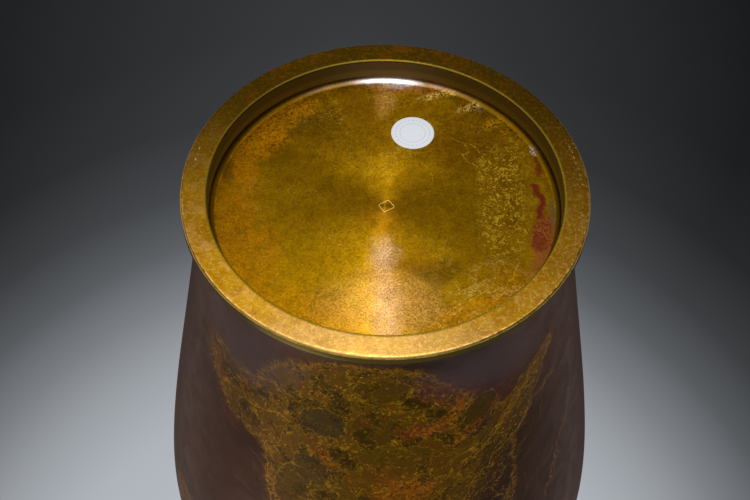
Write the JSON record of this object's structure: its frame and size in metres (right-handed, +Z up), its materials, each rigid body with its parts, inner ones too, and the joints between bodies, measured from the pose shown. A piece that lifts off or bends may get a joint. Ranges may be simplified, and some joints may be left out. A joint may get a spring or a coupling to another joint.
{
  "type": "bronze vase",
  "caption": "Tall bronze flower vase with a broad swelling body, full shoulder, short neck, flat turned-out lip and a recessed base inside a flat foot ring.",
  "frame": {"origin": "middle of the foot ring's flat underside", "axes": "+Z up the vase's axis from the foot to the mouth; -Y is the side nearest the camera in the picture"},
  "size_m": [0.227, 0.227, 0.32],
  "materials": {
    "patinated_bronze": "dark brown and olive mottled patina with fine gold veins, satin",
    "rubbed_bronze": "golden brown patina, fine grained, worn bright on the outer edge",
    "golden_bronze": "turned golden olive patina with red and brown clouds, satin",
    "solder": "brown patina over a smooth fillet, satin",
    "label_paper": "matt white paper"
  },
  "bodies": {
    "root": {"vase_body": "patinated_bronze", "foot_ring": "rubbed_bronze", "base_plate": "golden_bronze", "base_solder": "solder", "paper_label": "label_paper"}
  },
  "joints": []
}
